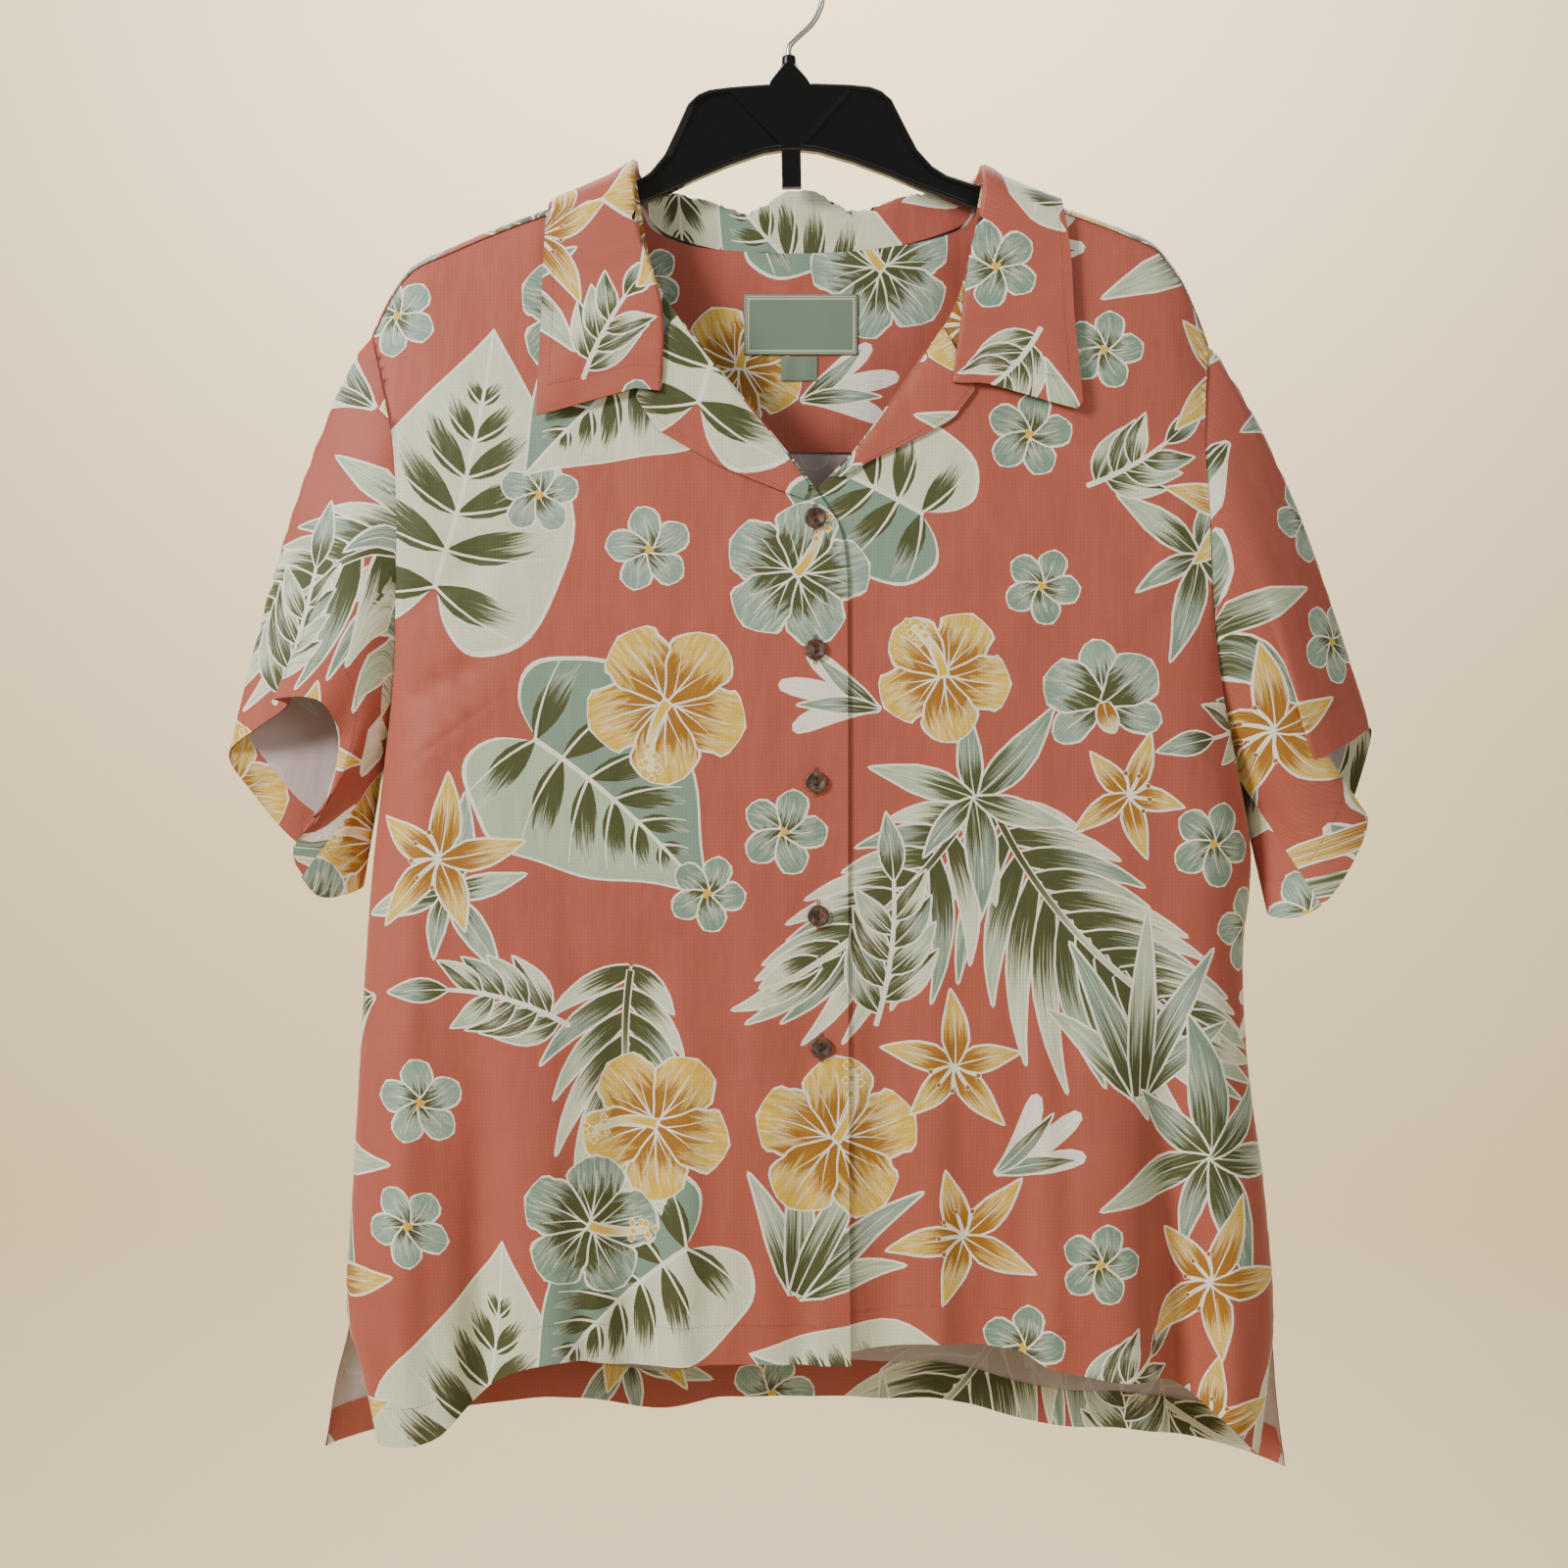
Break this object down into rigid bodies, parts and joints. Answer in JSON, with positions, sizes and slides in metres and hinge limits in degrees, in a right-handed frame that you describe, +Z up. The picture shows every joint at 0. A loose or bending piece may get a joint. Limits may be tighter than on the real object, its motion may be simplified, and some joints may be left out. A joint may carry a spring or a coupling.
{
  "type": "camp shirt on a top hanger",
  "caption": "Short-sleeved floral camp shirt with a notched collar, buttoned front and side vents, hung on a plastic top hanger with a wire hook.",
  "frame": {"origin": "inside top of the hanger's hook, the point that rests on a rail", "axes": "+Z up, the shirt's front faces -Y, the wearer's right side is at -X"},
  "size_m": [0.7627, 0.0734, 1.0058],
  "materials": {
    "printed_silk": "soft sheen, terracotta ground with a floral print",
    "woven_label": "matte weave",
    "coconut_button": "polished coconut shell",
    "hanger_plastic": "glossy black",
    "hook_steel": "plated wire"
  },
  "bodies": {
    "root": {"front_right": "printed_silk", "front_left": "printed_silk", "lapel_right": "printed_silk", "lapel_left": "printed_silk", "back": "printed_silk", "yoke_outer": "printed_silk", "yoke_inner": "printed_silk", "collar": "printed_silk", "sleeve_right": "printed_silk", "sleeve_left": "printed_silk", "neck_label": "woven_label", "size_tab": "woven_label", "button_1": "coconut_button", "button_2": "coconut_button", "button_3": "coconut_button", "button_4": "coconut_button", "button_5": "coconut_button", "hanger_body": "hanger_plastic", "hanger_hook": "hook_steel"}
  },
  "joints": []
}
